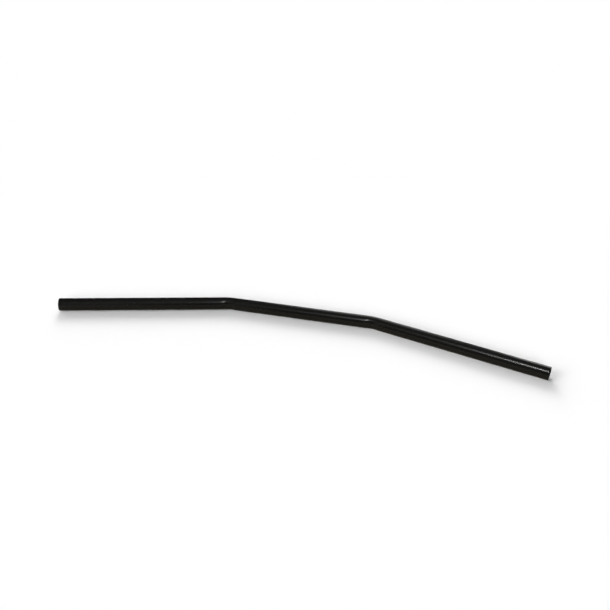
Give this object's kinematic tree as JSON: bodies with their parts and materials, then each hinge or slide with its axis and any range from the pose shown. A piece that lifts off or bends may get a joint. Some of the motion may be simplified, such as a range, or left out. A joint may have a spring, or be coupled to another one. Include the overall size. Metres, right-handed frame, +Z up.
{
  "type": "drag bar",
  "caption": "Gloss-black steel handlebar for a motorcycle: round tube with a straight clamping zone, shallow bends and straight legs swept back to open, square-cut tips.",
  "frame": {"origin": "on the tube's axis in the middle of the clamping zone", "axes": "+X along the bar towards the rider's right tip, +Y forwards, away from the rider, so the legs sweep towards -Y, and +Z up"},
  "size_m": [0.8498, 0.105, 0.0222],
  "materials": {
    "gloss_black_coat": "smooth gloss black coat on steel tube, a little uneven as a sprayed and baked coat is"
  },
  "bodies": {
    "root": {"bent_tube": "gloss_black_coat"}
  },
  "joints": []
}
